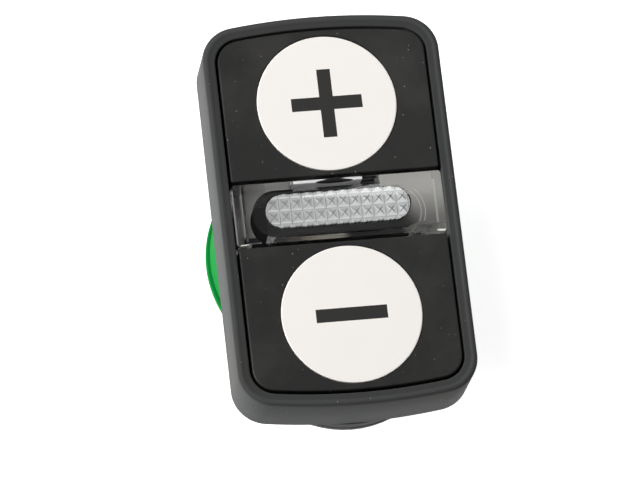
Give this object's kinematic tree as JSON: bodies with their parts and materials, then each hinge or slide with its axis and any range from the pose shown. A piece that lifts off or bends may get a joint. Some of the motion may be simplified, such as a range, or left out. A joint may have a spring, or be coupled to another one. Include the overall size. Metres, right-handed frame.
{
  "type": "double push button head",
  "caption": "Flush double push button head with a plus push, a minus push and a clear light window between them, for a round panel hole.",
  "frame": {"origin": "on the barrel's axis, in the plane of the panel's front that the gasket presses on", "axes": "+Z out of the face towards the user, +Y from the minus push to the plus push, X across the width"},
  "size_m": [0.03, 0.051, 0.028],
  "materials": {
    "bezel": "fine moulded grain, dark grey",
    "body": "moulded, charcoal",
    "push": "fine satin grain, black",
    "disc": "satin, off-white",
    "mark": "satin, black",
    "lens": "polished clear plastic",
    "light_guide": "polished clear plastic with moulded prisms",
    "nut": "semi-gloss, bright green",
    "pusher": "smooth moulded, dark grey",
    "rubber": "matt black",
    "retainer": "stamped sheet",
    "spring": "drawn wire"
  },
  "bodies": {
    "head": {"bezel": "bezel", "body": "body", "panel_gasket": "rubber", "upper_membrane": "rubber", "lower_membrane": "rubber", "upper_return_spring": "spring", "lower_return_spring": "spring", "seal_retainer": "retainer", "lens": "lens", "lens_seal": "rubber", "light_guide": "light_guide", "guide_plate": "pusher"},
    "upper_push": {"upper_push_cap": "push", "upper_legend_disc": "disc", "plus_mark": "mark", "upper_pusher": "pusher"},
    "lower_push": {"lower_push_cap": "push", "lower_legend_disc": "disc", "minus_mark": "mark", "lower_pusher": "pusher"},
    "nut": {"fixing_nut": "nut"}
  },
  "joints": [
    {"name": "upper_push_travel", "type": "slide", "parent": "head", "child": "upper_push", "axis": [0, 0, -1], "range_m": [0, 0.0032], "stiffness_N_per_m": 500, "springref_m": -0.002, "deforming": ["upper_return_spring", "upper_membrane"]},
    {"name": "lower_push_travel", "type": "slide", "parent": "head", "child": "lower_push", "axis": [0, 0, -1], "range_m": [0, 0.0032], "stiffness_N_per_m": 500, "springref_m": -0.002, "deforming": ["lower_return_spring", "lower_membrane"]},
    {"name": "nut_travel", "type": "slide", "parent": "head", "child": "nut", "axis": [0, 0, -1], "range_m": [-0.0035, 0.0054]}
  ]
}
